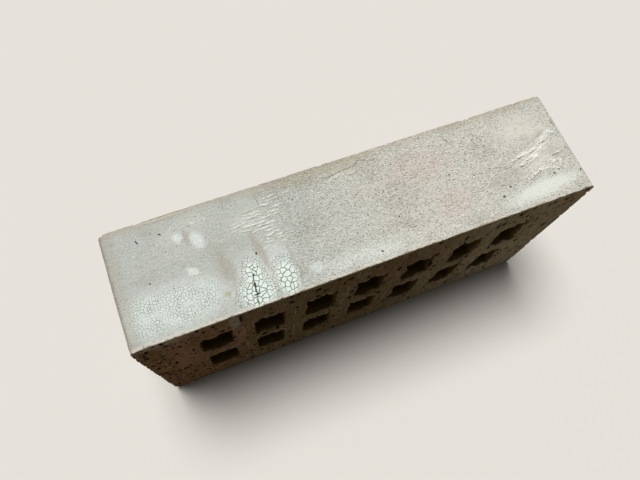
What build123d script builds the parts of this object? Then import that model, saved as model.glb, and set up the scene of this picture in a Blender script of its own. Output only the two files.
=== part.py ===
"""Perforated clay facing brick, standing on one of its long faces.

The brick is one piece of fired clay. Clay is pushed through a die as a column that already has its cores,
and wires cut the column across. So the section below, with its rounded outer corners and its two rows of
cores, is the same all the way through, and the two cut faces, the beds, are flat with crisp arrises.

X runs along the brick's length. Y runs from bed to bed, along the cores. Z is up, across the bed.
The origin is at the middle of the long face that the brick stands on. Sizes are in millimetres.
"""

from build123d import *
import os

# Outside sizes: length and width are those of the bed, height is the distance between the two beds
brick_length = 210.0
brick_width = 105.0
brick_height = 50.0

# The grid of cores, and the clay that is left round it and between the cores
core_columns = 7
core_rows = 2
end_wall = 23.6
face_wall = 22.4
cross_web = 10.1
middle_web = 11.0

# Roundings made by the die: the column's four corners, and the corners of each core
column_corner_radius = 5.0
core_corner_radius = 1.8

# The wire breaks the arris of each bed very slightly, outside and round each core
bed_arris = 0.6
core_arris = 0.4

# A core takes what the walls and webs leave of the bed
core_length = (brick_length - 2 * end_wall - (core_columns - 1) * cross_web) / core_columns
core_width = (brick_width - 2 * face_wall - (core_rows - 1) * middle_web) / core_rows
core_pitch_along = core_length + cross_web
core_pitch_across = core_width + middle_web

# A core's corner is never rounder than its shorter side lets it be
core_rounding = min(core_corner_radius, 0.45 * min(core_length, core_width))

# The plane halfway between the beds, centred on the section
mid_plane = Plane(origin=(0, 0, brick_width / 2), x_dir=(1, 0, 0), z_dir=(0, -1, 0))


def column_section():
    """The die's outline: a rectangle with its four corners rounded."""
    return RectangleRounded(brick_length, brick_width, column_corner_radius)


def core_sections():
    """The section of every core, in a grid centred on the bed."""
    grid = GridLocations(core_pitch_along, core_pitch_across, core_columns, core_rows)
    return Sketch() + [place * RectangleRounded(core_length, core_width, core_rounding) for place in grid]


def cut_to_height(section):
    """What the section sweeps out between two cuts of the wire."""
    return extrude(mid_plane * section, amount=brick_height / 2, both=True)


def both_beds(solid):
    """The two cut faces, front and back."""
    faces = solid.faces().sort_by(Axis.Y)
    return [faces[0], faces[-1]]


def fired_brick():
    """The whole unit: the column with its arrises broken, less its cores, whose rims are broken too."""
    column = cut_to_height(column_section())
    outer_arrises = [edge for bed in both_beds(column) for edge in bed.outer_wire().edges()]
    column = chamfer(outer_arrises, bed_arris)
    cored = column - cut_to_height(core_sections())
    rims = [edge for bed in both_beds(cored) for wire in bed.inner_wires() for edge in wire.edges()]
    return chamfer(rims, core_arris)


brick = fired_brick()
os.makedirs("parts", exist_ok=True)
export_step(brick, "parts/brick.step")

print(f"core {core_length:.1f} x {core_width:.1f} mm, pitch {core_pitch_along:.1f} x {core_pitch_across:.1f} mm")
print(f"volume {brick.volume:.0f} mm3, {len(brick.faces())} faces")
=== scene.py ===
"""Perforated clay facing brick: its fired clay and slip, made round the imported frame.

The brick is shaped as the real one is. A die draws a column of clay with rounded corners and two rows of
cores, wires cut it across, and the wires drag the clay as they pass: they tear dashes and pits into the cut
faces, push nibs of clay into the cores and leave ragged rims. A pale slip, brushed on the show faces before
firing, dries pebbly, wrinkles where it is pushed together, crackles where it lies thick, and lets the clay
show where it lies thin.

X runs along the brick, Y from bed to bed along the cores, and Z is up, across the bed. Blender's units are
metres. Patterns are laid out in millimetres, on the place that each point of clay had before it was torn.
"""

import math

import bpy
import numpy as np
from mathutils import Matrix, Vector


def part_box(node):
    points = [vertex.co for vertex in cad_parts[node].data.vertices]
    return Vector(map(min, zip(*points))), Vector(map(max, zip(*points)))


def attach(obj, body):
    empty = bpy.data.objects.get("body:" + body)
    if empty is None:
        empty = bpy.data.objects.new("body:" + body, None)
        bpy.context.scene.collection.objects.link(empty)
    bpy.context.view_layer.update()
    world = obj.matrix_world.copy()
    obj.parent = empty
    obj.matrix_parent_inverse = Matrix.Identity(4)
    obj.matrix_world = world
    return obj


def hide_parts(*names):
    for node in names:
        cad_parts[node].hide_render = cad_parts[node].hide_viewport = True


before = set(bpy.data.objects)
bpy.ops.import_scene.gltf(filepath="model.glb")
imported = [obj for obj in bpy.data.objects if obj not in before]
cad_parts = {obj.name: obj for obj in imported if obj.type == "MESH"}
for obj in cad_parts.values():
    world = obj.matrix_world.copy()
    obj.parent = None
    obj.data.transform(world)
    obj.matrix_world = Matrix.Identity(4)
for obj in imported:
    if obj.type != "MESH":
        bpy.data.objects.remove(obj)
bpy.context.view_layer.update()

bl_info = {
    "name": "Perforated clay brick",
    "version": (1, 0, 0),
    "blender": (4, 5, 0),
    "location": "3D View > Sidebar > Brick",
    "description": "Makes a wire-cut clay brick with cores, its slip and a plain stage",
    "category": "Add Mesh",
}

LOW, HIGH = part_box("brick")

MM = 0.001
TO_MM = 1000.0

# Whatever lies nearer to the column's outline than this is on its sides or its arris, never in a core
BORDER = 2.0 * MM

# Attributes of the brick's mesh: a point's place before relief, the same with the seed's shift, and its place
# from the middle of the nearest core, all in millimetres
PLACE = "clay_place"
GRAIN = "clay_grain"
CORE = "core_place"
SEED_SHIFT = (31.7, 47.3, 11.9)

# Kinds of node that are used again and again. An input is named by its number, and most start at 0 with the
# pattern. A Map Range goes from inputs 1 and 2 to inputs 3 and 4, which are 0 and 1 where they aren't given.
MATH = "ShaderNodeMath"
VECTOR = "ShaderNodeVectorMath"
RANGE = "ShaderNodeMapRange"
NOISE = "ShaderNodeTexNoise"
CELLS = "ShaderNodeTexVoronoi"
TURN = "ShaderNodeVectorRotate"
SPLIT = "ShaderNodeSeparateXYZ"
UNITE = "ShaderNodeCombineXYZ"
MIX = "ShaderNodeMix"
COMPARE = "FunctionNodeCompare"
LOGIC = "FunctionNodeBooleanMath"
POSITION = "GeometryNodeInputPosition"
MOVE = "GeometryNodeSetPosition"
KEPT = "GeometryNodeInputNamedAttribute"

# What such a node is set to do
PLUS = {"operation": "ADD"}
MINUS = {"operation": "SUBTRACT"}
TIMES = {"operation": "MULTIPLY"}
TIMES_PLUS = {"operation": "MULTIPLY_ADD"}
OVER = {"operation": "DIVIDE"}
SCALED = {"operation": "SCALE"}
LARGER = {"operation": "MAXIMUM"}
SMALLER = {"operation": "MINIMUM"}
UNSIGNED = {"operation": "ABSOLUTE"}
SIGN = {"operation": "SIGN"}
SINE = {"operation": "SINE"}
LENGTH = {"operation": "LENGTH"}
UNIT = {"operation": "NORMALIZE"}
BELOW = {"operation": "LESS_THAN"}
ABOVE = {"operation": "GREATER_THAN"}
BOTH = {"operation": "AND"}
OPPOSITE = {"operation": "NOT"}
SMOOTH = {"interpolation_type": "SMOOTHSTEP"}
ABOUT_Z = {"rotation_type": "Z_AXIS"}
OF_COLOURS = {"data_type": "RGBA"}
OF_VECTORS = {"data_type": "FLOAT_VECTOR"}
FLAT_CELLS = {"voronoi_dimensions": "2D"}
FLAT_NET = {"voronoi_dimensions": "2D", "feature": "DISTANCE_TO_EDGE"}


def linear(hex_colour):
    """An sRGB hex colour as linear red, green, blue and alpha."""
    parts = [int(hex_colour[i:i + 2], 16) / 255 for i in (1, 3, 5)]
    return tuple(c / 12.92 if c <= 0.04045 else ((c + 0.055) / 1.055) ** 2.4 for c in parts) + (1.0,)


def add(tree, kind, settings=None, links=None):
    """Adds a node with its settings, and links or sets its inputs. A node stands for its first output."""
    node = tree.nodes.new(kind)
    for name, value in (settings or {}).items():
        setattr(node, name, value)
    for socket, value in (links or {}).items():
        if isinstance(value, bpy.types.Node):
            value = value.outputs[0]
        if isinstance(value, bpy.types.NodeSocket):
            tree.links.new(value, node.inputs[socket])
        else:
            node.inputs[socket].default_value = value
    return node


# Sizes and colours that a user may change

def a_length(name, description, default):
    """A size in metres."""
    return bpy.props.FloatProperty(name=name, description=description, default=default, unit="LENGTH")


def a_count(name, description, default):
    """A whole number."""
    return bpy.props.IntProperty(name=name, description=description, default=default)


def a_colour(name, description, hex_colour):
    """A colour that is written as sRGB hex and held as linear light."""
    return bpy.props.FloatVectorProperty(
        name=name, description=description, default=linear(hex_colour), subtype="COLOR", size=4, min=0, max=1)


class BrickSizes(bpy.types.PropertyGroup):
    """The die, the cut and the mesh. Each size is an input of the brick's node tree, under the same name."""

    length: a_length("Length", "Along the bed", HIGH.x - LOW.x)
    width: a_length("Width", "Across the bed, upright here", HIGH.z - LOW.z)
    height: a_length("Height", "Between the two cuts of the wire", HIGH.y - LOW.y)
    column_radius: a_length("Column radius", "Rounding of the die's four corners", 5.0 * MM)
    core_length: a_length("Core length", "Of a core, along the brick", 14.6 * MM)
    core_width: a_length("Core width", "Of a core, upright here", 24.6 * MM)
    core_radius: a_length("Core radius", "Rounding of a core's corners", 1.8 * MM)
    pitch_along: a_length("Pitch along", "Between cores, along the brick", 24.7 * MM)
    pitch_across: a_length("Pitch across", "Between the rows of cores", 35.6 * MM)
    columns: a_count("Core columns", "Cores along the brick", 7)
    rows: a_count("Core rows", "Cores across the bed", 2)
    step_along: a_length("Step along", "Mesh spacing along the brick", 1.0 * MM)
    step_across: a_length("Step across", "Mesh spacing across the bed", 1.15 * MM)
    step_deep: a_length("Step deep", "Mesh spacing from bed to bed, fine enough for ridges", 0.6 * MM)
    core_steps: a_count("Core steps", "Rings of mesh along a core's wall", 14)
    seed: a_count("Seed", "Moves every random pattern", 3)


class BrickColours(bpy.types.PropertyGroup):
    """The clay and the slip."""

    clay_rosy: a_colour("Rosy clay", "Fired clay at the left end", "#A68461")
    clay_olive: a_colour("Olive clay", "Fired clay of the middle", "#938260")
    clay_pale: a_colour("Pale clay", "Fired clay at the right end", "#D8CEAE")
    slip_cool: a_colour("Cool slip", "Slip of the left third", "#C1C4BC")
    slip_warm: a_colour("Warm slip", "Slip of the rest", "#DAD8CC")
    slip_thick: a_colour("Thick slip", "Slip where it is thick and crackled", "#E9F3EB")


class StageSettings(bpy.types.PropertyGroup):
    """The floor, the lamp and the camera."""

    floor: a_colour("Floor", "Pale floor, as the camera sees it", "#DEDAD3")
    lamp_strength: bpy.props.FloatProperty(
        name="Lamp strength", description="Light of the big soft lamp on a face square to it", default=3.3)
    fill: bpy.props.FloatProperty(
        name="Fill", description="Light of the surroundings, 1 being white", default=0.06)
    focal_length: bpy.props.FloatProperty(
        name="Focal length", description="For a picture as wide as a 36 mm film", default=31.03)


# Patterns, used alike in the brick's shape and in its materials, so that what is torn is also painted dark as
# shade

TOP = (HIGH.z - LOW.z) * TO_MM
FRONT = LOW.y * TO_MM
SKIN = 6.0


def on_top(*spots):
    """Ovals on the upper face: each has its place along and across, two half sizes and, if any, a slant."""
    return [
        ((x, y, TOP), (half_x, half_y, SKIN), math.radians(slant[0] if slant else 0))
        for x, y, half_x, half_y, *slant in spots]


def on_front(*spots):
    """Ovals on the front bed: each has its place along it and up it, and its two half sizes."""
    return [((x, FRONT, z), (half_x, SKIN, half_z), 0.0) for x, z, half_x, half_z in spots]


def cut_plane(tree, place, grain):
    """Where a point lies on the cut face, as X and Z, with the two faces shifted so that they differ."""
    between_faces = 400.0
    x, _, z = add(tree, SPLIT, None, {0: grain}).outputs
    _, true_y, _ = add(tree, SPLIT, None, {0: place}).outputs
    side = add(tree, MATH, SIGN, {0: true_y})
    along = add(tree, MATH, TIMES_PLUS, {0: side, 1: between_faces, 2: x})
    return add(tree, UNITE, None, {0: along, 1: z})


def strayed(tree, place, size, reach):
    """A place moved a little by noise of a size, so that a pattern's lines aren't straight."""
    shrunk = add(tree, VECTOR, SCALED, {0: place, 3: 1 / size})
    noise = add(tree, NOISE, None, {0: shrunk, 2: 1.0, 3: 2.0})
    centred = add(tree, VECTOR, MINUS, {0: noise.outputs[1], 1: (0.5, 0.5, 0.5)})
    return add(tree, VECTOR, TIMES_PLUS, {0: centred, 1: (2 * reach, 2 * reach, 2 * reach), 2: place})


def clouds(tree, place, spacing, detail=2.0):
    """Noise from 0 to 1 whose lumps have a spacing of their own along each axis."""
    shrunk = add(tree, VECTOR, OVER, {0: place, 1: spacing})
    return add(tree, NOISE, None, {0: shrunk, 2: 1.0, 3: detail})


def patches(tree, place, spots, softness=0.3):
    """Oval patches with soft borders: 1 inside any of them and 0 outside them all."""
    most = 0.0
    for centre, half_sizes, slant in spots:
        upright = add(tree, TURN, ABOUT_Z, {0: place, 1: centre, 3: -slant}) if slant else place
        apart = add(tree, VECTOR, MINUS, {0: upright, 1: centre})
        scaled = add(tree, VECTOR, OVER, {0: apart, 1: half_sizes})
        distance = add(tree, VECTOR, LENGTH, {0: scaled})
        inside = add(tree, RANGE, SMOOTH, {0: distance.outputs[1], 1: 1 + softness, 2: 1 - softness})
        most = add(tree, MATH, LARGER, {0: inside, 1: most})
    return most


def overlap(tree, pattern, *others):
    """Where patterns lie over each other: their product."""
    for other in others:
        pattern = add(tree, MATH, TIMES, {0: pattern, 1: other})
    return pattern


def layered(tree, start, layers):
    """A sum of patterns, each times its depth."""
    total = start
    for pattern, depth in layers:
        total = add(tree, MATH, TIMES_PLUS, {0: pattern, 1: depth, 2: total})
    return total


def painted(tree, base, coats):
    """Colours laid over a base in turn. Each follows a pattern: where it begins and is full, and how full."""
    for colour, pattern, start, end, amount in coats:
        paint = linear(colour) if isinstance(colour, str) else colour
        share = add(tree, RANGE, SMOOTH, {0: pattern, 1: start, 2: end, 4: amount})
        base = add(tree, MIX, OF_COLOURS, {0: share, 6: base, 7: paint}).outputs[2]
    return base


def specks(tree, grain, spacing, radius, share):
    """Round specks scattered through the clay: 1 in a speck. The share is that of the cells with one."""
    cells = add(tree, CELLS, None, {0: grain, 2: 1 / spacing})
    chance = add(tree, SPLIT, None, {0: cells.outputs[1]})
    held = add(tree, MATH, BELOW, {0: chance, 1: share})
    full_size = radius / spacing
    size = add(tree, RANGE, None, {0: chance.outputs[1], 3: 0.5 * full_size, 4: 1.4 * full_size})
    dot = add(tree, RANGE, None, {0: cells, 1: size, 2: 0.0, 3: 0.0, 4: 2.0})
    return overlap(tree, dot, held)


# Dashes that the wire tears out: the spacing of their cells, and the share of the cells that are torn, at the
# left end and elsewhere. The wide ones are dents in the mesh too
WIDE_DASHES = {"size": (3.0, 5.2, 1.0), "shares": (0.45, 0.14)}
THIN_DASHES = {"size": (1.3, 3.4, 1.0), "shares": (0.34, 0.16)}


def torn_pits(tree, place, plane, size, shares):
    """Dashes along Z on the cut face: 1 at the bottom of one."""
    ragged = strayed(tree, plane, 0.8 * size[0], 0.3 * size[0])
    shrunk = add(tree, VECTOR, OVER, {0: ragged, 1: size})
    cells = add(tree, CELLS, FLAT_CELLS, {0: shrunk, 2: 1.0})
    chance = add(tree, SPLIT, None, {0: cells.outputs[1]})
    x, _, z = add(tree, SPLIT, None, {0: place}).outputs
    share = add(tree, RANGE, SMOOTH, {0: x, 1: -92.0, 2: -76.0, 3: shares[0], 4: shares[1]})
    sparse = clouds(tree, plane, (16.0, 20.0, 1.0))
    crowd = add(tree, RANGE, None, {0: sparse, 1: 0.35, 2: 0.65, 3: 0.2, 4: 1.8})
    torn = add(tree, MATH, BELOW, {0: chance, 1: overlap(tree, share, crowd)})
    width = add(tree, RANGE, None, {0: chance.outputs[1], 3: 0.16, 4: 0.42})
    depth = add(tree, RANGE, None, {0: cells, 1: width, 2: 0.04})
    from_middle = add(tree, MATH, UNSIGNED, {0: add(tree, MATH, MINUS, {0: z, 1: TOP / 2})})
    off_arris = add(tree, RANGE, None, {0: from_middle, 1: TOP / 2 - 0.8, 2: TOP / 2 - 3.0})
    return overlap(tree, depth, torn, off_arris)


def drag_marks(tree, plane, spacing):
    """Grooves and streaks along Z, the way the wire went."""
    return clouds(tree, plane, (spacing, 12 * spacing, 1.0), 3.0)


# The slip's own marks, in millimetres from the brick's middle

FINE_CRACKLE = on_top((-93.5, -13.6, 8.6, 8.4), (-82.0, -13.6, 10.0, 8.4), (-71.5, -13.2, 6.6, 6.4))
COARSE_CRACKLE = on_top((-52.2, -20.0, 7.2, 7.0), (-51.0, -12.0, 4.2, 6.4), (-38.8, -17.8, 4.8, 8.6))
WHITE_BLOTCHES = on_top(
    (-75.0, 13.4, 1.8, 2.4), (-67.4, 10.0, 2.5, 3.7, 15), (-66.8, 6.9, 1.6, 0.8, -30),
    (-73.2, -2.3, 2.2, 1.5, -20), (-26.6, -17.5, 2.8, 2.2))
PALE_SLIP = on_top(
    (-83.0, -13.0, 19.5, 8.6), (-50.5, -12.5, 8.0, 8.5), (-39.5, -12.5, 5.6, 9.6),
    (-7.0, -20.0, 17.0, 3.8), (80.0, -18.2, 19.0, 3.4, 4))
SMOOTH_SLIP = on_top(
    (84.5, 11.8, 10.5, 6.6), (82.0, -18.6, 13.0, 2.8, 4), (-43.2, 20.0, 3.8, 4.4),
    (88.0, -2.0, 10.0, 4.0, 16))
ROSY_SLIP = on_top((32.0, 9.5, 14.0, 7.5), (39.5, -11.0, 9.0, 6.5))
OLIVE_SLIP = on_top((-8.0, 22.0, 22.0, 4.6))
MUDDY_SLIP = on_top(
    (-22.0, -1.0, 8.5, 6.6), (63.0, 7.3, 6.5, 6.5), (11.0, 17.0, 8.0, 5.0),
    (18.0, -1.0, 12.0, 10.0), (66.0, -9.0, 13.0, 5.5, 8))
BROWN_STREAKS = on_top(
    (-60.0, -6.0, 2.8, 6.8, 12), (-45.6, -3.2, 1.6, 9.2, 10), (-33.9, -11.5, 0.9, 5.6, 6),
    (-71.4, 12.8, 1.0, 3.0), (-33.4, -18.3, 1.7, 1.5))
OLIVE_STAINS = on_top((92.5, 6.4, 4.4, 0.6, 24), (52.6, 16.2, 1.3, 0.5, -20), (-63.3, -16.0, 1.9, 1.4))
RUST_STAINS = on_top((49.4, 17.7, 1.4, 0.45, -45), (53.3, 5.7, 0.9, 0.35, 30), (101.4, 10.1, 0.8, 1.3))
DARK_SPOTS = on_top(
    (-47.3, -3.9, 0.4, 0.5), (-89.9, -1.5, 0.3, 0.3), (-81.0, 17.3, 0.6, 0.25, -30),
    (-90.4, 17.0, 0.25, 1.0, 20), (43.4, 1.5, 0.4, 0.35), (1.4, -20.8, 0.45, 0.4),
    (61.6, -16.3, 0.5, 0.4), (66.6, -13.0, 0.5, 0.4), (88.9, -13.8, 0.6, 0.35),
    (101.6, -16.0, 0.4, 0.8, -20), (14.3, -8.9, 0.35, 0.35))
DEEP_CRACK = on_top(
    (-51.65, -13.2, 0.13, 1.9, -15), (-52.2, -17.8, 0.2, 3.0, -2), (-51.2, -12.0, 0.36, 0.5),
    (-52.0, -16.0, 0.4, 1.3), (-52.4, -20.0, 1.4, 0.3), (-52.9, -22.6, 0.12, 2.0, -8))
# Thin dark lines: some are painted shade under raised crests of slip and under a flake at the back edge
THIN_LINES = on_top(
    (-53.4, 21.4, 0.14, 2.8, -10), (-39.4, 17.6, 0.2, 3.2), (-43.5, 14.7, 3.8, 0.2, 4),
    (-4.5, 18.8, 4.6, 0.25, 8), (3.0, 19.6, 3.6, 0.28, 6), (7.0, 20.8, 2.2, 0.28, 34),
    (10.8, 20.7, 2.2, 0.28, -24), (14.6, 19.8, 2.0, 0.22, -8), (55.5, -2.2, 3.4, 0.2, -10),
    (63.5, -2.5, 5.5, 0.18, 3), (-78.0, 24.7, 10.0, 0.22))
WHITE_CRESTS = on_top(
    (-27.2, 17.8, 2.3, 0.5, 22), (-5.0, 17.2, 4.2, 0.5, 14), (1.5, 17.2, 5.0, 0.45),
    (-66.8, 17.3, 2.2, 0.35), (36.0, -22.0, 1.3, 0.45, -40), (53.5, -22.3, 2.0, 0.35, 20),
    (-77.5, 24.0, 10.5, 0.5))

# Slip in small waves: left of the middle, and round the ridges at the right
RIPPLED = on_top((-42.5, 9.5, 10.5, 5.0), (-35.2, 15.0, 4.4, 6.5), (-38.5, 0.0, 5.5, 6.0))
SWEPT_UP = on_top((81.0, -2.4, 9.0, 2.8, 12), (92.0, 2.0, 6.5, 3.4, 36), (86.5, -9.6, 9.5, 2.4, 10))

# Slip that the brush pushed up at the right: three ridges that sweep up, and a lower one that ends in a knob
RIDGES = on_top(
    (74.4, -2.0, 1.8, 0.45, 15), (77.2, -1.2, 1.3, 0.7, 10), (81.0, -0.5, 2.4, 0.5, 6),
    (85.6, 0.2, 2.2, 0.55, 8), (89.3, 1.6, 2.0, 0.6, 32), (92.3, 3.4, 1.8, 0.6, 38),
    (95.2, 5.4, 1.6, 0.8, 40), (97.8, 5.6, 1.4, 0.7, -10), (79.6, -3.8, 1.8, 0.45, 12),
    (83.2, -3.0, 1.9, 0.5, 10), (86.6, -2.0, 1.6, 0.5, 22), (89.2, -0.4, 1.3, 0.5, 42),
    (76.2, -5.4, 1.7, 0.4, 6), (80.2, -5.0, 1.6, 0.4, 8), (84.8, -4.0, 1.6, 0.4, 12),
    (76.4, -12.8, 1.5, 0.4, 22), (79.4, -11.6, 1.7, 0.45, 20), (83.0, -10.6, 1.8, 0.5, 6),
    (87.4, -10.4, 1.6, 0.5, -4), (91.0, -11.4, 1.3, 0.5, -20), (94.2, -10.6, 1.2, 0.5, 40),
    (90.4, -8.0, 1.1, 0.8), (94.6, -8.2, 0.7, 0.7), (93.0, -5.0, 4.4, 0.3, 7))

# The bed's own marks

DRIPPED_SLIP = on_front((-64.2, 95.0, 2.2, 10.0), (-94.5, 103.0, 9.5, 4.0), (54.9, 99.4, 2.8, 3.0))
ROSY_CLAY = on_front((-89.0, 70.0, 5.5, 24.0), (-66.0, 68.0, 4.0, 17.0), (-84.0, 100.0, 8.0, 5.0))
LARGE_PITS = on_front(
    (-93.0, 101.8, 0.8, 1.8), (-77.0, 96.9, 0.6, 1.5), (-28.0, 97.6, 1.3, 1.7), (-13.3, 96.2, 1.6, 1.4),
    (-40.1, 101.6, 0.9, 1.3), (-61.5, 97.0, 0.6, 5.2), (-52.6, 53.4, 1.5, 2.2), (-60.9, 58.0, 0.6, 1.4),
    (-39.0, 22.7, 0.7, 2.8), (-18.0, 58.0, 0.7, 1.3), (-84.4, 73.0, 0.6, 2.4), (-94.1, 60.0, 0.5, 3.0),
    (-83.7, 16.6, 0.6, 1.8), (27.6, 101.1, 0.8, 1.6), (43.3, 92.6, 0.8, 2.8), (59.0, 93.7, 0.5, 3.2),
    (12.3, 82.3, 0.9, 3.0), (32.3, 80.9, 0.8, 2.8), (7.3, 50.1, 1.0, 2.2), (85.6, 80.9, 0.8, 1.8),
    (86.6, 71.6, 0.9, 2.0), (97.6, 65.0, 0.8, 3.2), (95.6, 91.0, 0.7, 1.5), (87.0, 52.3, 1.2, 2.2),
    (58.7, 8.6, 0.8, 3.2), (83.3, 12.3, 0.9, 2.8), (15.9, 22.3, 0.5, 3.0))


def large_pits(tree, place):
    """The single big pits of the front bed."""
    return patches(tree, strayed(tree, place, 1.6, 0.5), LARGE_PITS, 0.5)


def wrinkles(tree, place, slant, spacing, broken):
    """Crests of slip that was pushed into waves: 1 along a crest. Broken is the share that is missing."""
    turned = add(tree, TURN, ABOUT_Z, {0: place, 3: math.radians(-slant)})
    bent = strayed(tree, turned, 3.0 * spacing, 0.8 * spacing)
    _, across, _ = add(tree, SPLIT, None, {0: bent}).outputs
    wave = add(tree, MATH, SINE, {0: add(tree, MATH, TIMES, {0: across, 1: math.tau / spacing})})
    crest = add(tree, RANGE, SMOOTH, {0: wave, 1: -0.5, 2: 0.9})
    gaps = clouds(tree, bent, (2.8 * spacing, 1.4 * spacing, 1.4 * spacing))
    unbroken = add(tree, RANGE, SMOOTH, {0: gaps, 1: broken - 0.1, 2: broken + 0.1})
    return overlap(tree, crest, unbroken)


def slip_crests(tree, place):
    """All raised slip: the ridges at the right, the ripples and the single crests."""
    waves = wrinkles(tree, place, 2, 1.6, 0.5)
    shown = patches(tree, place, RIPPLED, 0.45)
    swept_waves = wrinkles(tree, place, 22, 1.7, 0.38)
    swept = patches(tree, place, SWEPT_UP, 0.5)
    feathery = strayed(tree, strayed(tree, place, 2.4, 1.0), 0.9, 0.6)
    ridges = patches(tree, feathery, RIDGES, 1.0)
    broken = add(tree, RANGE, SMOOTH, {0: clouds(tree, place, (1.6, 1.0, 1.6)), 1: 0.34, 2: 0.52, 3: 0.4})
    return layered(tree, 0.0, (
        (overlap(tree, waves, shown), 0.58),
        (overlap(tree, swept_waves, swept), 0.42),
        (patches(tree, feathery, WHITE_CRESTS, 0.8), 0.4),
        (overlap(tree, ridges, broken), 1.2),
    ))


def crackle(tree, place, inside, cell, width):
    """The net of cracks in thick slip: 1 in a crack. Cracks are thin at the patch's border."""
    uneven = strayed(tree, place, 2.0 * cell, 0.45 * cell)
    ragged = strayed(tree, uneven, 0.5 * cell, 0.08 * cell)
    shrunk = add(tree, VECTOR, SCALED, {0: ragged, 3: 1 / cell})
    net = add(tree, CELLS, FLAT_NET, {0: shrunk, 2: 1.0})
    half_width = add(tree, MATH, TIMES_PLUS, {0: inside, 1: width / cell, 2: 0.001})
    line = add(tree, RANGE, None, {0: net, 1: half_width, 2: 0.0})
    shown = add(tree, RANGE, SMOOTH, {0: inside, 1: 0.05, 2: 0.6})
    return overlap(tree, line, shown)


# The clay's shape, made by Geometry Nodes

def tree_inputs(tree, sizes, materials):
    """Gives the tree an input for each size and finish, and lists what the modifier sets them to."""
    for way in ("INPUT", "OUTPUT"):
        tree.interface.new_socket("Geometry", in_out=way, socket_type="NodeSocketGeometry")
    kinds = {"FLOAT": "NodeSocketFloat", "INT": "NodeSocketInt"}
    inputs = []
    for key in BrickSizes.__annotations__:
        size = sizes.bl_rna.properties[key]
        inputs.append((size.name, kinds[size.type], getattr(sizes, key)))
    inputs += [(name, "NodeSocketMaterial", material) for name, material in materials.items()]
    values = {}
    for name, kind, value in inputs:
        socket = tree.interface.new_socket(name, in_out="INPUT", socket_type=kind)
        if kind == "NodeSocketFloat":
            socket.subtype = "DISTANCE"
        values[socket.identifier] = value
    return values


def rounded_inset(tree, size, position):
    """How far a place is inside the column's rounded outline, in metres, and the way out from there."""
    middle = add(tree, UNITE, None, {2: size["Half Width"]})
    from_middle = add(tree, VECTOR, MINUS, {0: position, 1: middle})
    flat = add(tree, VECTOR, TIMES, {0: from_middle, 1: (1, 0, 1)})
    unsigned = add(tree, VECTOR, UNSIGNED, {0: flat})
    corner_x = add(tree, MATH, MINUS, {0: size["Half Length"], 1: size["Column radius"]})
    corner_z = add(tree, MATH, MINUS, {0: size["Half Width"], 1: size["Column radius"]})
    corner = add(tree, UNITE, None, {0: corner_x, 2: corner_z})
    beyond = add(tree, VECTOR, MINUS, {0: unsigned, 1: corner})
    outward = add(tree, VECTOR, LARGER, {0: beyond, 1: (0, 0, 0)})
    run = add(tree, VECTOR, LENGTH, {0: outward})
    inset = add(tree, MATH, MINUS, {0: size["Column radius"], 1: run.outputs[1]})
    signs = add(tree, VECTOR, SIGN, {0: flat})
    way_out = add(tree, VECTOR, TIMES, {0: outward, 1: signs})
    return inset, add(tree, VECTOR, UNIT, {0: way_out})


def stood_up(tree, size, flat):
    """Turns a flat figure upright to face the front and puts it in the plane of the front bed."""
    front = add(tree, MATH, TIMES, {0: size["Height"], 1: -0.5})
    shift = add(tree, UNITE, None, {1: front, 2: size["Half Width"]})
    return add(tree, "GeometryNodeTransform", None, {0: flat, 1: shift, 2: (math.pi / 2, 0, 0)})


def core_grid(tree, size):
    """A point in the middle of each core, on the front bed."""
    spans = []
    for count, pitch in (("Core columns", "Pitch along"), ("Core rows", "Pitch across")):
        gaps = add(tree, MATH, MINUS, {0: size[count], 1: 1.0})
        spans.append(add(tree, MATH, TIMES, {0: gaps, 1: size[pitch]}))
    grid = add(tree, "GeometryNodeMeshGrid", None,
               {0: spans[0], 1: spans[1], 2: size["Core columns"], 3: size["Core rows"]})
    return stood_up(tree, size, grid)


def rounded_outline(tree, width, height, radius):
    """A rectangle with rounded corners, as a curve on the floor plane."""
    corner_points = 8
    sharp = add(tree, "GeometryNodeCurvePrimitiveQuadrilateral", None, {0: width, 1: height})
    return add(tree, "GeometryNodeFilletCurve", {"mode": "POLY"}, {0: sharp, 1: corner_points, 2: radius})


def die_lines(tree, size, centres):
    """The outline of the column and of every core, as edges in the plane of the front bed."""
    column = stood_up(tree, size, rounded_outline(tree, size["Length"], size["Width"], size["Column radius"]))
    core = rounded_outline(tree, size["Core length"], size["Core width"], size["Core radius"])
    upright = add(tree, "GeometryNodeTransform", None, {0: core, 2: (math.pi / 2, 0, 0)})
    cores = add(tree, "GeometryNodeInstanceOnPoints", None, {0: centres, 2: upright})
    loose = add(tree, "GeometryNodeRealizeInstances", None, {0: cores})
    lines = add(tree, "GeometryNodeJoinGeometry", None, {0: column})
    tree.links.new(loose.outputs[0], lines.inputs[0])
    return add(tree, "GeometryNodeCurveToMesh", None, {0: lines})


def from_core(tree, centres, position):
    """The way from the nearest core's middle to a place, in metres."""
    near = add(tree, "GeometryNodeProximity", {"target_element": "POINTS"},
               {0: centres, "Sample Position": position})
    apart = add(tree, VECTOR, MINUS, {0: position, 1: near})
    return add(tree, VECTOR, TIMES, {0: apart, 1: (1, 0, 1)})


def past_core(tree, size, local):
    """How far a place is past a core's walls, along X and along Z: negative inside."""
    half = add(tree, UNITE, None, {0: size["Half Core length"], 2: size["Half Core width"]})
    unsigned = add(tree, VECTOR, UNSIGNED, {0: local})
    return add(tree, VECTOR, MINUS, {0: unsigned, 1: half})


def open_border(tree):
    """Edges that have one face only, and so the points at their ends."""
    faces = add(tree, "GeometryNodeInputMeshEdgeNeighbors")
    lone = add(tree, COMPARE, {"data_type": "INT", "operation": "EQUAL"}, {2: faces, 3: 1})
    return add(tree, "GeometryNodeFieldOnDomain", {"data_type": "BOOLEAN", "domain": "EDGE"}, {0: lone})


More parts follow.
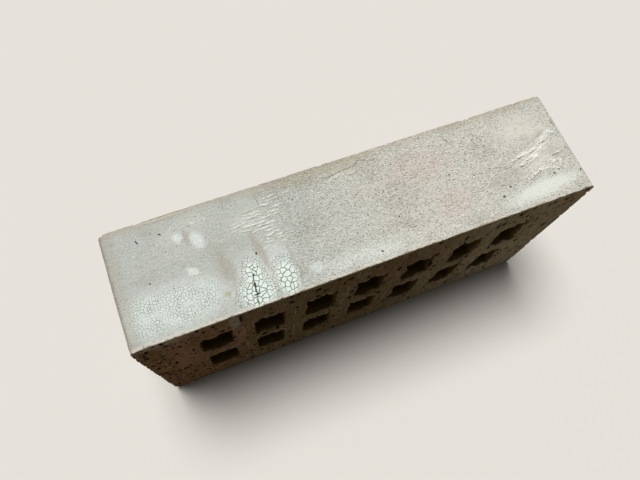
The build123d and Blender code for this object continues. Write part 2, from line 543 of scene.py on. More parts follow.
def cut_face(tree, size, centres):
    """The front bed: a grid of mesh with the cores left out, and its borders drawn onto the die's lines."""
    counts = []
    for length, spacing in (("Length", "Step along"), ("Width", "Step across")):
        steps = add(tree, MATH, OVER, {0: size[length], 1: size[spacing]})
        whole = add(tree, MATH, {"operation": "CEIL"}, {0: steps})
        counts.append(add(tree, MATH, PLUS, {0: whole, 1: 1.0}))
    grid = add(tree, "GeometryNodeMeshGrid", None,
               {0: size["Length"], 1: size["Width"], 2: counts[0], 3: counts[1]})
    face = stood_up(tree, size, grid)
    position = add(tree, POSITION)
    local = from_core(tree, centres, position.outputs[0])
    past_x, _, past_z = add(tree, SPLIT, None, {0: past_core(tree, size, local)}).outputs
    furthest = add(tree, MATH, LARGER, {0: past_x, 1: past_z})
    inset, _ = rounded_inset(tree, size, position)
    kept = add(tree, MATH, SMALLER, {0: furthest, 1: inset})
    empty = add(tree, MATH, BELOW, {0: kept, 1: 0.0})
    opened = add(tree, "GeometryNodeDeleteGeometry", {"domain": "FACE", "mode": "ALL"}, {0: face, 1: empty})
    lines = die_lines(tree, size, centres)
    nearest_line = add(tree, "GeometryNodeProximity", {"target_element": "EDGES"}, {0: lines})
    return add(tree, MOVE, None, {0: opened, 1: open_border(tree), 2: nearest_line})


def drawn_along(tree, size, geometry, border, rows):
    """Draws a border of the front bed back to the far bed in equal rows."""
    count = add(tree, MATH, {"operation": "ROUND"}, {0: rows})
    depth = add(tree, MATH, OVER, {0: size["Height"], 1: count})
    row = add(tree, UNITE, None, {1: depth})
    first = add(tree, "GeometryNodeRepeatInput")
    last = add(tree, "GeometryNodeRepeatOutput")
    first.pair_with_output(last)
    tree.links.new(count.outputs[0], first.inputs[0])
    tree.links.new(geometry.outputs[0], first.inputs[1])
    drawn = add(tree, "GeometryNodeExtrudeMesh", {"mode": "EDGES"},
                {0: first.outputs[1], 1: border, 2: row, 3: 1.0})
    tree.links.new(drawn.outputs[0], last.inputs[0])
    return last


def closer_at_rims(tree, size, geometry, inside):
    """Moves the rings of the core walls towards the rims, where the clay is torn."""
    x, y, z = add(tree, SPLIT, None, {0: add(tree, POSITION)}).outputs
    half_turn = add(tree, MATH, TIMES, {0: y, 1: math.pi})
    turn = add(tree, MATH, OVER, {0: half_turn, 1: size["Height"]})
    wave = add(tree, MATH, SINE, {0: turn})
    depth = add(tree, MATH, TIMES, {0: wave, 1: size["Half Height"]})
    moved = add(tree, UNITE, None, {0: x, 1: depth, 2: z})
    return add(tree, MOVE, None, {0: geometry, 1: inside, 2: moved})


def drawn_column(tree, size, centres):
    """The whole skin of the brick, flat and sharp: both beds, the sides and the core walls, closed."""
    bed = cut_face(tree, size, centres)
    position = add(tree, POSITION)
    inset, _ = rounded_inset(tree, size, position)
    outside = add(tree, COMPARE, BELOW, {0: inset, 1: BORDER})
    inside = add(tree, LOGIC, OPPOSITE, {0: outside})
    border = open_border(tree)
    outer = add(tree, LOGIC, BOTH, {0: border, 1: outside})
    inner = add(tree, LOGIC, BOTH, {0: border, 1: inside})
    side_rows = add(tree, MATH, OVER, {0: size["Height"], 1: size["Step deep"]})
    sides = drawn_along(tree, size, bed, outer, side_rows)
    walls = drawn_along(tree, size, sides, inner, size["Core steps"])
    graded = closer_at_rims(tree, size, walls, inside)
    across = add(tree, UNITE, None, {1: size["Height"]})
    far = add(tree, "GeometryNodeTransform", None, {0: bed, 1: across})
    turned = add(tree, "GeometryNodeFlipFaces", None, {0: far})
    skin = add(tree, "GeometryNodeJoinGeometry", None, {0: turned})
    tree.links.new(graded.outputs[0], skin.inputs[0])
    touching = 0.01 * MM
    return add(tree, "GeometryNodeMergeByDistance", None, {0: skin, 2: touching})


def remembered(tree, size, geometry, centres):
    """Keeps where each point lies before relief, for the patterns of the shape and the materials."""
    position = add(tree, POSITION)
    place = add(tree, VECTOR, SCALED, {0: position, 3: TO_MM})
    shift = add(tree, VECTOR, SCALED, {0: SEED_SHIFT, 3: size["Seed"]})
    grain = add(tree, VECTOR, PLUS, {0: place, 1: shift})
    local = add(tree, VECTOR, SCALED, {0: from_core(tree, centres, position.outputs[0]), 3: TO_MM})
    for name, value in ((PLACE, place), (GRAIN, grain), (CORE, local)):
        geometry = add(tree, "GeometryNodeStoreNamedAttribute",
                       {"data_type": "FLOAT_VECTOR", "domain": "POINT"}, {0: geometry, 2: name, 3: value})
    return geometry


def regions(tree, size, place, local):
    """How much each point belongs to a bed, the sides, the arris and a core's rim, from 0 to 1."""
    reach = 2.5
    rim_depth = 4.0
    metres = add(tree, VECTOR, SCALED, {0: place, 3: MM})
    inset, way_out = rounded_inset(tree, size, metres)
    inset_mm = add(tree, MATH, TIMES, {0: inset, 1: TO_MM})
    _, y, _ = add(tree, SPLIT, None, {0: place}).outputs
    from_middle = add(tree, MATH, UNSIGNED, {0: y})
    half = add(tree, MATH, TIMES, {0: size["Half Height"], 1: TO_MM})
    depth = add(tree, MATH, MINUS, {0: half, 1: from_middle})
    shrunk = add(tree, VECTOR, SCALED, {0: local, 3: MM})
    past = add(tree, VECTOR, SCALED, {0: past_core(tree, size, shrunk), 3: TO_MM})
    clear = add(tree, VECTOR, LARGER, {0: past, 1: (0, 0, 0)})
    from_rim = add(tree, VECTOR, LENGTH, {0: clear})
    past_x, _, past_z = add(tree, SPLIT, None, {0: past}).outputs
    bed, side, near_core, down_core = (
        add(tree, RANGE, None, {0: distance, 1: furthest, 2: 0.0}) for distance, furthest in (
            (depth, reach), (inset_mm, reach), (from_rim.outputs[1], reach), (depth, rim_depth)))
    level_rim, upright_rim = (
        add(tree, RANGE, SMOOTH, {0: beyond, 1: 0.3, 2: -1.2}) for beyond in (past_x, past_z))
    return {
        "bed": bed, "side": side, "way_out": way_out, "level_rim": level_rim, "upright_rim": upright_rim,
        "arris": overlap(tree, bed, side), "rim": overlap(tree, near_core, down_core),
    }


def chips(tree, place, grain, arris):
    """Bites out of the arris where the clay crumbled: 1 in the deepest, and more at the brick's ends."""
    crumbs = add(tree, RANGE, SMOOTH, {0: clouds(tree, grain, (2.6, 2.6, 2.6)), 1: 0.53, 2: 0.74})
    from_middle = add(tree, MATH, UNSIGNED, {0: add(tree, SPLIT, None, {0: place})})
    at_ends = add(tree, RANGE, SMOOTH, {0: from_middle, 1: 98.0, 2: 103.0, 3: 0.9, 4: 2.6})
    return overlap(tree, crumbs, arris, at_ends)


def cut_relief(tree, place, grain, shares):
    """How deep the wire and the clay's tears go under the plane of the bed, in millimetres."""
    plane = cut_plane(tree, place, grain)
    bites = add(tree, RANGE, SMOOTH, {0: clouds(tree, plane, (4.6, 7.0, 1.0)), 1: 0.42, 2: 0.64})
    return layered(tree, -0.55, (
        (clouds(tree, plane, (38.0, 45.0, 1.0)), 0.5),
        (clouds(tree, plane, (6.0, 8.0, 1.0)), 0.2),
        (drag_marks(tree, plane, 3.4), 0.14),
        (clouds(tree, plane, (2.6, 3.2, 1.0)), 0.18),
        (torn_pits(tree, place, plane, **WIDE_DASHES), 0.8),
        (large_pits(tree, place), 0.5),
        (overlap(tree, shares["rim"], bites), 1.0),
        (chips(tree, place, grain, shares["arris"]), 0.6),
    ))


def side_relief(tree, place, grain, shares):
    """How deep the slip's face lies under the die's line, in millimetres: low where the arris is chipped."""
    return layered(tree, -0.38, (
        (clouds(tree, grain, (32.0, 26.0, 32.0)), 0.4),
        (clouds(tree, grain, (7.0, 4.0, 7.0)), 0.2),
        (clouds(tree, grain, (2.2, 1.7, 2.2)), 0.16),
        (slip_crests(tree, place), -0.65),
        (chips(tree, place, grain, shares["arris"]), 0.45),
        (shares["arris"], 0.05),
    ))


def hanging_nibs(tree, place, grain, local, shares):
    """How far the rims of the cores jut into them: most at the top, where the wire pushed clay down."""
    plane = cut_plane(tree, place, grain)
    fringe = clouds(tree, plane, (3.4, 60.0, 1.0), 4.0)
    jut = add(tree, RANGE, SMOOTH, {0: fringe, 1: 0.38, 2: 0.64})
    juts = layered(tree, -0.65, ((jut, 0.9), (clouds(tree, plane, (9.0, 60.0, 1.0)), 0.5)))
    _, _, up = add(tree, SPLIT, None, {0: local}).outputs
    top = add(tree, MATH, ABOVE, {0: up, 1: 0.0})
    reach = add(tree, MATH, TIMES_PLUS, {0: top, 1: 1.3, 2: 0.8})
    along = add(tree, SPLIT, None, {0: place})
    calmer = add(tree, RANGE, SMOOTH, {0: along, 1: -50.0, 2: 0.0, 3: 1.0, 4: 0.6})
    level = overlap(tree, juts, reach, calmer, shares["level_rim"])
    upright_fringe = clouds(tree, plane, (60.0, 2.6, 1.0), 3.0)
    sideways = add(tree, RANGE, None, {0: upright_fringe, 1: 0.3, 2: 0.7, 3: -0.5, 4: 0.6})
    upright = overlap(tree, sideways, shares["upright_rim"])
    inward = add(tree, VECTOR, TIMES, {
        0: add(tree, VECTOR, SIGN, {0: local}), 1: add(tree, UNITE, None, {0: upright, 2: level})})
    towards = add(tree, VECTOR, SCALED, {0: inward, 3: -1.0})
    return add(tree, VECTOR, SCALED, {0: towards, 3: shares["rim"]})


def worn_clay(tree, size, geometry):
    """Gives the sharp skin its relief: torn beds, ragged arrises and rims, and the slip's own surface."""
    place, grain, local = (add(tree, KEPT, OF_VECTORS, {0: name}).outputs[0] for name in (PLACE, GRAIN, CORE))
    shares = regions(tree, size, place, local)
    _, y, _ = add(tree, SPLIT, None, {0: place}).outputs
    outward = add(tree, MATH, SIGN, {0: y})
    depth = overlap(tree, cut_relief(tree, place, grain, shares), shares["bed"], outward)
    off_bed = add(tree, UNITE, None, {1: depth})
    low = overlap(tree, side_relief(tree, place, grain, shares), shares["side"])
    off_side = add(tree, VECTOR, SCALED, {0: shares["way_out"], 3: low})
    sunk = add(tree, VECTOR, PLUS, {0: off_bed, 1: off_side})
    total = add(tree, VECTOR, MINUS, {0: hanging_nibs(tree, place, grain, local, shares), 1: sunk})
    moved = add(tree, VECTOR, SCALED, {0: total, 3: MM})
    relief = add(tree, MOVE, None, {0: geometry, 3: moved})
    angle = add(tree, "GeometryNodeInputMeshEdgeAngle")
    crisp_from = math.radians(50)
    sharp = add(tree, COMPARE, ABOVE, {0: angle, 1: crisp_from})
    rounded = add(tree, LOGIC, OPPOSITE, {0: sharp})
    shaded = add(tree, "GeometryNodeSetShadeSmooth", {"domain": "FACE"}, {0: relief, 2: True})
    return add(tree, "GeometryNodeSetShadeSmooth", {"domain": "EDGE"}, {0: shaded, 2: rounded})


def finished(tree, size, geometry):
    """Ends the tree: plain mesh, with the core's clay, the slip on the sides and the cut clay on the beds."""
    place = add(tree, KEPT, OF_VECTORS, {0: PLACE})
    metres = add(tree, VECTOR, SCALED, {0: place, 3: MM})
    inset, _ = rounded_inset(tree, size, metres)
    on_side = add(tree, COMPARE, BELOW, {0: inset, 1: BORDER})
    _, y, _ = add(tree, SPLIT, None, {0: metres}).outputs
    from_middle = add(tree, MATH, UNSIGNED, {0: y})
    tolerance = 0.02 * MM
    bed_from_middle = add(tree, MATH, MINUS, {0: size["Half Height"], 1: tolerance})
    on_bed = add(tree, COMPARE, ABOVE, {0: from_middle, 1: bed_from_middle})
    result = add(tree, "GeometryNodeRealizeInstances", None, {0: geometry})
    for finish, chosen in (("Core clay", True), ("Slip", on_side), ("Cut clay", on_bed)):
        result = add(tree, "GeometryNodeSetMaterial", None, {0: result, 1: chosen, 2: size[finish]})
    add(tree, "NodeGroupOutput", None, {0: result})


def brick_tree(sizes, materials):
    """The brick as a Geometry Nodes tree, and the values of its inputs."""
    tree = bpy.data.node_groups.new("Wire-cut brick", "GeometryNodeTree")
    values = tree_inputs(tree, sizes, materials)
    size = dict(add(tree, "NodeGroupInput").outputs.items())
    for name in ("Length", "Width", "Height", "Core length", "Core width"):
        size["Half " + name] = add(tree, MATH, TIMES, {0: size[name], 1: 0.5})
    centres = core_grid(tree, size)
    skin = drawn_column(tree, size, centres)
    kept = remembered(tree, size, skin, centres)
    finished(tree, size, worn_clay(tree, size, kept))
    return tree, values


def drop_empty_slots(mesh):
    """Takes out the material slots that the tree leaves with nothing in them."""
    for i in reversed(range(len(mesh.materials))):
        if mesh.materials[i] is None:
            mesh.materials.pop(index=i)


# The map for the bake

def lay_out_bake_map(mesh, sizes):
    """Lays the brick's outside and core walls side by side, each flat and at one scale, in a square."""
    square = 326.0
    margin = 2.0
    core_scale = 0.5
    length, width, height = (TO_MM * value for value in (sizes.length, sizes.width, sizes.height))
    radius = TO_MM * sizes.column_radius
    half_core = TO_MM / 2 * np.array([sizes.core_length, sizes.core_width])

    def whole_numbers(items, name):
        values = np.empty(len(items), dtype=int)
        items.foreach_get(name, values)
        return values

    corners = whole_numbers(mesh.loops, "vertex_index")
    starts = whole_numbers(mesh.polygons, "loop_start")
    totals = whole_numbers(mesh.polygons, "loop_total")
    finish = whole_numbers(mesh.polygons, "material_index")
    finish_names = np.array([material.name for material in mesh.materials])[finish]

    def on_corners(name):
        values = np.empty(3 * len(mesh.vertices), dtype=np.float32)
        mesh.attributes[name].data.foreach_get("vector", values)
        return values.reshape(-1, 3)[corners]

    place = on_corners(PLACE)
    local = on_corners(CORE)
    face = np.repeat(np.arange(len(totals)), totals)
    middle = np.add.reduceat(place, starts) / totals[:, None]
    middle_local = np.add.reduceat(local, starts) / totals[:, None]

    def spread(where, u, v, left, bottom, scale=1.0):
        chosen = where[face]
        flat[chosen, 0] = left + scale * u[chosen]
        flat[chosen, 1] = bottom + scale * v[chosen]

    flat = np.zeros((len(corners), 2))
    along = place[:, 0] + length / 2
    back = place[:, 1] + height / 2
    up = place[:, 2]
    bed = finish_names == CUT_CLAY
    side = finish_names == SLIP
    core = finish_names == CORE_CLAY
    past_x = np.abs(middle[:, 0]) - (length / 2 - radius)
    past_z = np.abs(middle[:, 2] - width / 2) - (width / 2 - radius)
    end = side & (past_x > past_z)
    long_face = side & ~end

    bottom = margin
    for chosen in (bed & (middle[:, 1] < 0), bed & (middle[:, 1] > 0)):
        spread(chosen, along, up, margin, bottom)
        bottom += width + margin
    for chosen in (long_face & (middle[:, 2] > width / 2), long_face & (middle[:, 2] < width / 2)):
        spread(chosen, along, back, margin, bottom)
        bottom += height + margin
    right = length + 2 * margin
    spread(end & (middle[:, 0] < 0), back, up, right, margin)
    spread(end & (middle[:, 0] > 0), back, up, right + height + margin, margin)

    column = np.round(middle[:, 0] / (TO_MM * sizes.pitch_along) + (sizes.columns - 1) / 2)
    row = np.round((middle[:, 2] - width / 2) / (TO_MM * sizes.pitch_across) + (sizes.rows - 1) / 2)
    upright = np.abs(middle_local[:, 0]) - half_core[0] > np.abs(middle_local[:, 2]) - half_core[1]
    walls = (
        (~upright & (middle_local[:, 2] > 0), local[:, 0] + half_core[0], 0.0),
        (upright & (middle_local[:, 0] > 0), local[:, 2] + half_core[1], 2 * half_core[0]),
        (~upright & (middle_local[:, 2] < 0), local[:, 0] + half_core[0], 2 * half_core.sum()),
        (upright & (middle_local[:, 0] < 0), local[:, 2] + half_core[1], 4 * half_core[0] + 2 * half_core[1]),
    )
    strip_height = core_scale * height + margin / 2
    strip_width = core_scale * 4 * half_core.sum() + 5 * margin / 2
    for i in range(sizes.columns * sizes.rows):
        this_core = core & (column == i // sizes.rows) & (row == i % sizes.rows)
        left = right + (i % sizes.rows) * (strip_width + margin)
        floor = width + 2 * margin + (i // sizes.rows) * strip_height
        for j, (wall, run, start) in enumerate(walls):
            spread(this_core & wall, run, back, left + core_scale * start + j * margin / 2, floor, core_scale)

    layer = mesh.uv_layers.new(name="OFBake")
    layer.data.foreach_set("uv", (flat / square).astype(np.float32).ravel())


# Finishes

SLIP = "Slip-coated brick face"
CUT_CLAY = "Wire-cut fired clay"
CORE_CLAY = "Die-smoothed fired clay"


def emptied(owner):
    """The node tree of a new material or world, with nothing in it."""
    owner.use_nodes = True
    owner.node_tree.nodes.clear()
    return owner.node_tree


def new_finish(name):
    """An empty material, and the brick's stored places."""
    material = bpy.data.materials.new(name)
    tree = emptied(material)
    stored = [add(tree, "ShaderNodeAttribute", {"attribute_name": name}) for name in (PLACE, GRAIN, CORE)]
    return material, tree, *(node.outputs[1] for node in stored)


def surfaced(tree, colour, height_mm, roughness, specular, diffuse_roughness):
    """Ends a material with its colour, its small relief in millimetres and its gloss."""
    bump = add(tree, "ShaderNodeBump", None, {"Strength": 1.0, "Distance": MM, "Height": height_mm})
    shader = add(tree, "ShaderNodeBsdfPrincipled", None, {
        "Base Color": colour, "Normal": bump, "Roughness": roughness, "Specular IOR Level": specular,
        "Diffuse Roughness": diffuse_roughness})
    add(tree, "ShaderNodeOutputMaterial", None, {0: shader})


def clay_body(tree, place, grain, colours):
    """The fired body's colour: rosy at the left end, olive, then pale at the right, clouded and gritty.

    Real grit is taken to be about 0.4 mm wide. Here it is two to three times as coarse, so that it shows, and
    three times as long up the bed, which the camera sees at a slant.
    """
    x = add(tree, SPLIT, None, {0: place})
    cloud = clouds(tree, grain, (12.0, 12.0, 20.0), 4.0)
    fine = clouds(tree, grain, (1.2, 1.2, 3.6), 3.0)
    gritty = add(tree, VECTOR, OVER, {0: grain, 1: (1.0, 1.0, 3.0)})
    return painted(tree, colours.clay_rosy[:], (
        (colours.clay_olive[:], x, -88.0, -40.0, 1.0),
        # Paler towards the right end: partly the clay's own tone, partly painted light
        (colours.clay_pale[:], x, 0.0, 90.0, 1.0),
        ("#B98F62", x, -94.0, -105.0, 0.6),
        ("#8E7950", cloud, 0.52, 0.72, 0.6),
        ("#C09C82", cloud, 0.46, 0.30, 0.5),
        ("#E2CFAC", fine, 0.52, 0.74, 0.4),
        ("#695338", fine, 0.48, 0.28, 0.4),
        ("#EBE3D2", specks(tree, gritty, 2.2, 0.3, 0.14), 0.2, 0.9, 0.8),
        ("#33261C", specks(tree, gritty, 1.7, 0.36, 0.2), 0.2, 0.9, 0.85),
    ))


def above_core(tree, core, plane):
    """A ragged band over each core, where the wire pressed the clay pale and smooth: 1 at the rim."""
    x, _, z = add(tree, SPLIT, None, {0: core}).outputs
    ragged = layered(tree, z, ((clouds(tree, plane, (2.6, 4.0, 1.0)), 4.0),))
    band = add(tree, RANGE, SMOOTH, {0: ragged, 1: 16.8, 2: 14.6})
    over = add(tree, MATH, ABOVE, {0: z, 1: 0.0})
    across = add(tree, RANGE, SMOOTH, {0: add(tree, MATH, UNSIGNED, {0: x}), 1: 8.4, 2: 6.8})
    return overlap(tree, band, over, across)


def cut_clay(colours):
    """Brick clay, cut by a wire and fired: dead matt and sandy, with streaks, and torn pits painted dark as
    shade.

    The pits are as wide as they look in the photo, and the finer dashes about twice as wide, to be seen.
    """
    material, tree, place, grain, core = new_finish(CUT_CLAY)
    plane = cut_plane(tree, place, grain)
    _, _, z = add(tree, SPLIT, None, {0: place}).outputs
    body = clay_body(tree, place, grain, colours)
    streaks = drag_marks(tree, plane, 2.4)
    pits = torn_pits(tree, place, plane, **WIDE_DASHES)
    dashes = torn_pits(tree, place, plane, **THIN_DASHES)
    pale_rim = above_core(tree, core, plane)
    frayed = layered(tree, z, ((clouds(tree, plane, (3.0, 3.0, 1.0), 3.0), 4.0),))
    loose = strayed(tree, place, 3.0, 1.2)
    body = painted(tree, body, (
        ("#CDA18D", patches(tree, loose, ROSY_CLAY, 0.6), 0.0, 1.0, 0.55),
        ("#836B50", streaks, 0.50, 0.70, 0.3),
        ("#DCCAA8", streaks, 0.48, 0.32, 0.2),
        ("#DCCEC0", pale_rim, 0.0, 1.0, 0.5),
        ("#DAD3C4", patches(tree, loose, DRIPPED_SLIP, 0.8), 0.0, 1.0, 0.75),
        ("#DCD2BE", frayed, TOP - 0.4, TOP + 1.2, 0.8),
        # Painted shadow: darker at the foot of the bed, where it meets the floor
        ("#62563F", frayed, 6.0, 3.0, 0.3),
        # Painted shade: the torn dashes and pits are near black, as the shade in them
        ("#2A1A10", dashes, 0.05, 0.35, 0.9),
        ("#1C0F08", pits, 0.05, 0.2, 0.97),
        ("#1C0F08", large_pits(tree, place), 0.2, 0.5, 0.97),
    ))
    height = layered(tree, 0.0, (
        (clouds(tree, grain, (1.0, 1.0, 2.0), 4.0), 0.25), (streaks, 0.1), (dashes, -0.4), (pits, -0.3)))
    surfaced(tree, body, height, roughness=0.95, specular=0.03, diffuse_roughness=0.6)
    return material


def core_clay(colours):
    """Brick clay that slid along the die's cores: smooth, with draw lines along the core, as pale as the cut
    clay at the rim, and painted shade that darkens it deeper in."""
    material, tree, place, grain, _ = new_finish(CORE_CLAY)
    _, y, _ = add(tree, SPLIT, None, {0: place}).outputs
    from_middle = add(tree, MATH, UNSIGNED, {0: y})
    ragged = layered(tree, from_middle, ((clouds(tree, grain, (2.4, 4.0, 2.4)), 3.0),))
    lines = clouds(tree, grain, (1.4, 30.0, 1.4), 3.0)
    # Painted shade: the clay darkens from the rim into the core, where little light reaches
    body = painted(tree, clay_body(tree, place, grain, colours), (
        ("#85662E", ragged, -FRONT + 1.8, -FRONT + 0.6, 0.8),
        ("#634A18", ragged, -FRONT + 1.0, -FRONT - 2.6, 0.92),
    ))
    height = layered(tree, 0.0, ((lines, 0.1), (clouds(tree, grain, (1.6, 3.0, 1.6), 3.0), 0.4)))
    surfaced(tree, body, height, roughness=0.93, specular=0.03, diffuse_roughness=0.5)
    return material


def slip_face(colours):
    """Engobe, a white-firing slip brushed on clay: chalky and matt, pebbly where it dried rough, crackled
    where it lies thick, and brown where the clay shows through at the edges.

    The crackle's cells are 1 to 2 mm wide, as they look in the photo. Its cracks are wider than hairlines,
    and the pebbles are coarser than real ones, which are taken to be about 0.3 mm, so that they show.
    """
    material, tree, place, grain, _ = new_finish(SLIP)
    x, y, _ = add(tree, SPLIT, None, {0: place}).outputs
    wide = strayed(tree, place, 7.0, 2.4)
    close = strayed(tree, place, 2.4, 0.5)
    sharp = strayed(tree, place, 1.2, 0.18)

    # Past the first third the slip dried pebbly, apart from the places where the brush smoothed it
    wide_x = add(tree, SPLIT, None, {0: wide})
    past_third = add(tree, RANGE, SMOOTH, {0: wide_x, 1: -42.0, 2: -26.0, 3: 0.45, 4: 1.0})
    pale = patches(tree, wide, PALE_SLIP, 0.8)
    smooth = layered(tree, patches(tree, wide, SMOOTH_SLIP, 0.8), ((pale, 0.4),))
    pebbly = add(tree, MIX, None, {0: smooth, 2: past_third, 3: 0.22})
    pebbles = clouds(tree, strayed(tree, grain, 2.4, 0.7), (0.95, 0.5, 0.7), 2.0)
    mottle = clouds(tree, grain, (2.6, 1.8, 2.6), 3.0)
    cloud = clouds(tree, grain, (22.0, 15.0, 22.0), 3.0)
    muddy = patches(tree, wide, MUDDY_SLIP, 0.6)
    speck_share = add(tree, MATH, TIMES_PLUS, {0: pebbly, 1: 0.1, 2: -0.02})
    pinholes = specks(tree, grain, 1.2, 0.3, layered(tree, speck_share, ((muddy, 0.3),)))

    brushed = strayed(tree, strayed(tree, place, 3.2, 1.5), 0.9, 0.7)
    blotches = patches(tree, brushed, WHITE_BLOTCHES, 0.8)
    crests = slip_crests(tree, place)
    fine_area = patches(tree, close, FINE_CRACKLE, 0.5)
    coarse_area = patches(tree, close, COARSE_CRACKLE, 0.6)
    fine_net = crackle(tree, place, fine_area, 1.15, 0.17)
    blotch_net = crackle(tree, place, blotches, 1.1, 0.16)
    thickest = add(tree, RANGE, SMOOTH, {0: coarse_area, 1: 0.4, 2: 1.1})
    thinner = add(tree, RANGE, SMOOTH, {0: coarse_area, 1: 0.0, 2: 0.4})
    outer = add(tree, MATH, MINUS, {0: thinner, 1: thickest})
    coarse_net = crackle(tree, place, thickest, 2.1, 0.24)
    small_net = crackle(tree, place, outer, 1.15, 0.2)
    uneven = clouds(tree, grain, (5.0, 5.0, 5.0), 2.0)
    marks = add(tree, MATH, LARGER,
                {0: patches(tree, sharp, DARK_SPOTS, 0.4), 1: patches(tree, sharp, DEEP_CRACK, 0.35)})

    # How near the arris of a bed, and the end, a ragged line lies
    fray = clouds(tree, grain, (1.6, 1.6, 1.6), 3.0)
    forward = add(tree, MATH, MINUS, {0: 0.0, 1: y})
    to_lip = layered(tree, forward, ((fray, 2.0), (uneven, 1.6)))
    to_back = layered(tree, y, ((clouds(tree, grain, (6.0, 4.0, 6.0), 4.0), 6.0),))
    to_end = layered(tree, x, ((fray, -2.4),))
    stained = overlap(tree, patches(tree, close, OLIVE_STAINS, 0.6), pebbles)

    coat = painted(tree, colours.slip_cool[:], (
        (colours.slip_warm[:], x, -50.0, 22.0, 1.0),
        ("#D6D7CE", cloud, 0.52, 0.72, 0.45),
        ("#ACA99D", cloud, 0.46, 0.30, 0.45),
        ("#DCCAC0", patches(tree, wide, ROSY_SLIP, 0.9), 0.0, 1.0, 0.55),
        ("#B3AE90", patches(tree, wide, OLIVE_SLIP, 0.8), 0.0, 1.0, 0.4),
        ("#97958A", overlap(tree, muddy, mottle), 0.2, 0.65, 0.25),
        ("#A6A194", mottle, 0.52, 0.74, 0.35),
        ("#E8EDE7", pale, 0.0, 1.0, 0.5),
        ("#ABA093", patches(tree, close, BROWN_STREAKS, 0.8), 0.0, 1.0, 0.5),
        # Painted shade and light on the pebbles: darker in their hollows and paler on their tops, as the
        # relief of the same noise
        ("#878173", pebbles, 0.46, 0.26, pebbly),
        ("#F0EEE6", pebbles, 0.54, 0.74, pebbly),
        (colours.slip_thick[:], fine_area, 0.0, 1.0, 0.42),
        (colours.slip_thick[:], coarse_area, 0.0, 0.9, 0.85),
        ("#EEF4EF", blotches, 0.1, 1.0, 0.75),
        # Crests whiter than the slip round them: partly thick slip, partly painted highlight
        ("#F8F6EC", crests, 0.05, 0.7, 0.92),
        ("#7F867F", overlap(tree, fine_net, uneven), 0.1, 0.5, 0.85),
        ("#A9B0A9", blotch_net, 0.0, 0.8, 0.5),
        ("#7F7A6C", small_net, 0.1, 0.9, 0.85),
        ("#5C5547", coarse_net, 0.0, 0.8, 0.9),
        ("#A9A06E", stained, 0.3, 0.55, 0.6),
        ("#9A7058", patches(tree, close, RUST_STAINS, 0.6), 0.0, 1.0, 0.5),
        ("#B9AD98", to_back, 23.0, 28.5, 0.55),
        ("#948772", to_back, 27.6, 29.5, 0.5),
        ("#B0A99B", to_end, -98.5, -102.5, 0.4),
        ("#988D7D", to_end, -103.6, -105.8, 0.6),
        # A pale line along the front arris: a bead of slip, partly painted highlight where the arris catches
        # light
        ("#E2DACB", to_lip, 24.9, 26.3, 0.65),
        ("#8E7E68", to_lip, 26.2, 27.0, 0.7),
        ("#6B6252", patches(tree, close, THIN_LINES, 0.9), 0.0, 1.0, 0.45),
        ("#675F51", pinholes, 0.2, 0.9, 0.52),
        ("#2A2119", marks, 0.2, 0.9, 0.95),
    ))
    waviness = overlap(tree, mottle, layered(tree, 0.1, ((muddy, 0.6),)))
    height = layered(tree, 0.0, (
        (overlap(tree, pebbles, pebbly), 1.3), (waviness, -1.0), (crests, 0.45), (fine_net, -0.08),
        (small_net, -0.08), (coarse_net, -0.2), (pinholes, -0.25), (marks, -0.5)))
    surfaced(tree, coat, height, roughness=0.88, specular=0.3, diffuse_roughness=0.4)
    return material


def placed(context, name, data):
    """A new object with its data, in the scene."""
    holder = bpy.data.objects.new(name, data)
    context.scene.collection.objects.link(holder)
    return holder


# Operators

class BRICK_OT_make_brick(bpy.types.Operator):
    """Make the wire-cut brick with its cores and slip"""

    bl_idname = "brick.make_brick"
    bl_label = "Brick"

    def execute(self, context):
        sizes = context.scene.brick_sizes
        colours = context.scene.brick_colours
        materials = {
            "Slip": slip_face(colours), "Cut clay": cut_clay(colours), "Core clay": core_clay(colours)}
        tree, values = brick_tree(sizes, materials)
        maker = placed(context, "brick_maker", bpy.data.meshes.new("brick_maker"))
        modifier = maker.modifiers.new("Wire-cut brick", "NODES")
        modifier.node_group = tree
        for identifier, value in values.items():
            modifier[identifier] = value
        depsgraph = context.evaluated_depsgraph_get()
        mesh = bpy.data.meshes.new_from_object(
            maker.evaluated_get(depsgraph), preserve_all_data_layers=True, depsgraph=depsgraph)
        maker.modifiers.remove(modifier)
        bpy.data.objects.remove(maker)
        mesh.name = "clay_brick"
        drop_empty_slots(mesh)
        lay_out_bake_map(mesh, sizes)
        brick = placed(context, "clay_brick", mesh)
        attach(brick, "root")
        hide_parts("brick")
        return {"FINISHED"}


class BRICK_OT_make_stage(bpy.types.Operator):
    """Make the pale floor, the soft light and the camera"""

    bl_idname = "brick.make_stage"
    bl_label = "Stage"

    def execute(self, context):
        settings = context.scene.brick_stage
        make_floor(context, settings)
        make_light(context, settings)
        make_camera(context, settings)
        context.scene.view_settings.view_transform = "Standard"
        return {"FINISHED"}


# The stage

def seen_directly(tree):
    """1 for what the camera sees, also by a reflection or through glass, and 0 for light on the clay."""
    path = add(tree, "ShaderNodeLightPath").outputs
    seen = add(tree, MATH, LARGER, {0: path["Is Camera Ray"], 1: path["Is Glossy Ray"]})
    return add(tree, MATH, LARGER, {0: seen, 1: path["Is Transmission Ray"]})


def make_floor(context, settings):
    """A wide pale floor. Light that bounces off it to the brick is browner and weaker than it looks."""
    reach = 6.0
    mesh = bpy.data.meshes.new("studio_floor")
    corners = [(-reach, -reach, 0), (reach, -reach, 0), (reach, reach, 0), (-reach, reach, 0)]
    mesh.from_pydata(corners, [], [(0, 1, 2, 3)])
    floor = placed(context, "studio_floor", mesh)
    material = bpy.data.materials.new("Pale studio floor")
    tree = emptied(material)
    colour = painted(tree, linear("#6C5C4A"), ((settings.floor[:], seen_directly(tree), 0.0, 1.0, 1.0),))
    shader = add(tree, "ShaderNodeBsdfPrincipled", None, {
        "Base Color": colour, "Roughness": 0.9, "Specular IOR Level": 0.2})
    add(tree, "ShaderNodeOutputMaterial", None, {0: shader})
    mesh.materials.append(material)


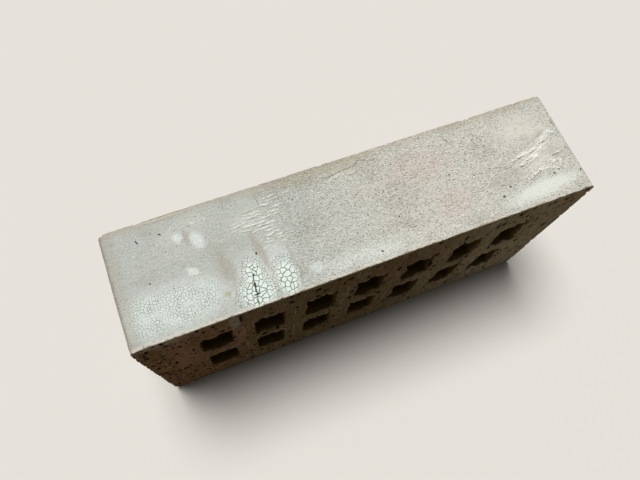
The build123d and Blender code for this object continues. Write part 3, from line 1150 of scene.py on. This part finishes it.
def make_light(context, settings):
    """One big soft lamp high behind the brick, a little to the left, and a weak even fill.

    The surroundings look as pale as the floor, but don't light the brick as much as that.
    """
    elevation = math.radians(75)
    behind_left = math.radians(22)
    spread = math.radians(28)
    lamp = bpy.data.lights.new("soft_lamp", "SUN")
    lamp.energy = settings.lamp_strength
    lamp.angle = spread
    towards_lamp = Vector((
        -math.cos(elevation) * math.sin(behind_left), math.cos(elevation) * math.cos(behind_left),
        math.sin(elevation)))
    holder = placed(context, "soft_lamp", lamp)
    holder.rotation_euler = towards_lamp.to_track_quat("Z", "Y").to_euler()
    world = bpy.data.worlds.new("Soft surroundings")
    tree = emptied(world)
    seen = seen_directly(tree)
    white = (1, 1, 1, 1)
    colour = painted(tree, white, ((settings.floor[:], seen, 0.0, 1.0, 1.0),))
    strength = add(tree, RANGE, None, {0: seen, 3: settings.fill, 4: 1.0})
    glow = add(tree, "ShaderNodeBackground", None, {0: colour, 1: strength})
    add(tree, "ShaderNodeOutputWorld", None, {0: glow})
    context.scene.world = world


def make_camera(context, settings):
    """The viewpoint: above the front of the brick, near its left end, turned a little."""
    eye = Vector((-64.7, -78.5, 314.8)) * MM
    aim = Vector((-21.0, -7.3, 105.0)) * MM
    roll = math.radians(-10.54)
    film_width = 36
    camera = bpy.data.cameras.new("camera")
    camera.lens = settings.focal_length
    camera.sensor_width = film_width
    camera.clip_start = 0.01
    forward = (aim - eye).normalized()
    right = forward.cross(Vector((0, 0, 1))).normalized()
    up = right.cross(forward)
    tilted_up = math.cos(roll) * up + math.sin(roll) * right
    tilted_right = forward.cross(tilted_up)
    turn = Matrix((tilted_right, tilted_up, -forward)).transposed().to_4x4()
    holder = placed(context, "camera", camera)
    holder.matrix_world = Matrix.Translation(eye) @ turn
    context.scene.camera = holder


class BRICK_PT_panel(bpy.types.Panel):
    """Lists what can be made, with its sizes and colours"""

    bl_idname = "BRICK_PT_panel"
    bl_label = "Clay brick"
    bl_space_type = "VIEW_3D"
    bl_region_type = "UI"
    bl_category = "Brick"

    def draw(self, context):
        for operator in OPERATORS:
            self.layout.operator(operator.bl_idname)
        for group in PROPERTIES:
            settings = getattr(context.scene, group)
            for name in settings.__annotations__:
                self.layout.prop(settings, name)


PROPERTIES = {"brick_sizes": BrickSizes, "brick_colours": BrickColours, "brick_stage": StageSettings}
OPERATORS = (BRICK_OT_make_brick, BRICK_OT_make_stage)


def register():
    for name, group in PROPERTIES.items():
        bpy.utils.register_class(group)
        setattr(bpy.types.Scene, name, bpy.props.PointerProperty(type=group))
    for cls in OPERATORS + (BRICK_PT_panel,):
        bpy.utils.register_class(cls)


def unregister():
    for cls in (BRICK_PT_panel,) + OPERATORS:
        bpy.utils.unregister_class(cls)
    for name, group in PROPERTIES.items():
        delattr(bpy.types.Scene, name)
        bpy.utils.unregister_class(group)


def main():
    register()
    bpy.ops.brick.make_brick()
    bpy.ops.brick.make_stage()


if __name__ == "__main__":
    main()
